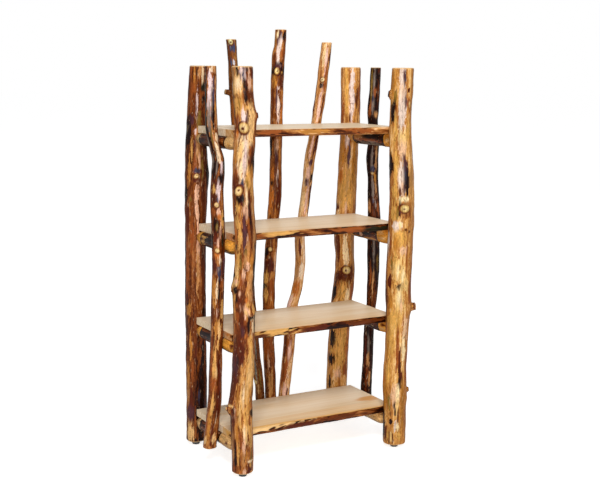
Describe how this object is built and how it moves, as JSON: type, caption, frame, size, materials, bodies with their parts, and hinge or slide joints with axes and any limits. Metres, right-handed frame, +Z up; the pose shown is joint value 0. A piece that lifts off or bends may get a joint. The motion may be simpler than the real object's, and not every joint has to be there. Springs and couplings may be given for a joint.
{
  "type": "log bookcase",
  "caption": "Rustic open bookcase of peeled, clear-coated logs with pale live-edge shelves and tall crooked poles at its back and sides.",
  "frame": {"origin": "on the floor, at the middle of the base", "axes": "+X to the right, +Y to the back, +Z up"},
  "size_m": [1.0495, 0.6313, 2.025],
  "materials": {
    "post_wood": "peeled aspen, gloss clear coat",
    "rung_wood": "peeled aspen, gloss clear coat",
    "pole_wood": "peeled aspen, gloss clear coat",
    "dark_pole_wood": "bark left on, gloss clear coat",
    "pale_pole_wood": "peeled aspen, gloss clear coat",
    "shelf_wood": "sanded board, satin clear coat",
    "live_edge_board": "sanded board with a bark edge, satin clear coat",
    "glide": "matt black",
    "steel": "zinc plated"
  },
  "bodies": {
    "root": {"post_front_left": "post_wood", "foot_glide_front_left": "glide", "post_front_right": "post_wood", "foot_glide_front_right": "glide", "post_back_left": "post_wood", "foot_glide_back_left": "glide", "post_back_right": "post_wood", "foot_glide_back_right": "glide", "glide_nails": "steel", "top_shelf_front_board": "live_edge_board", "top_shelf_middle_board": "shelf_wood", "top_shelf_back_board": "shelf_wood", "top_shelf_rung_left": "rung_wood", "top_shelf_rung_right": "rung_wood", "upper_shelf_front_board": "live_edge_board", "upper_shelf_middle_board": "shelf_wood", "upper_shelf_back_board": "shelf_wood", "upper_shelf_rung_left": "rung_wood", "upper_shelf_rung_right": "rung_wood", "lower_shelf_front_board": "live_edge_board", "lower_shelf_middle_board": "shelf_wood", "lower_shelf_back_board": "shelf_wood", "lower_shelf_rung_left": "rung_wood", "lower_shelf_rung_right": "rung_wood", "bottom_shelf_front_board": "live_edge_board", "bottom_shelf_middle_board": "shelf_wood", "bottom_shelf_back_board": "shelf_wood", "bottom_shelf_rung_left": "rung_wood", "bottom_shelf_rung_right": "rung_wood", "side_pole_left": "pole_wood", "side_pole_right": "dark_pole_wood", "back_pole_left": "dark_pole_wood", "back_pole_middle": "pole_wood", "back_pole_right": "pale_pole_wood", "shelf_screws": "steel", "back_pole_screws": "steel", "side_pole_screws": "steel"}
  },
  "joints": []
}
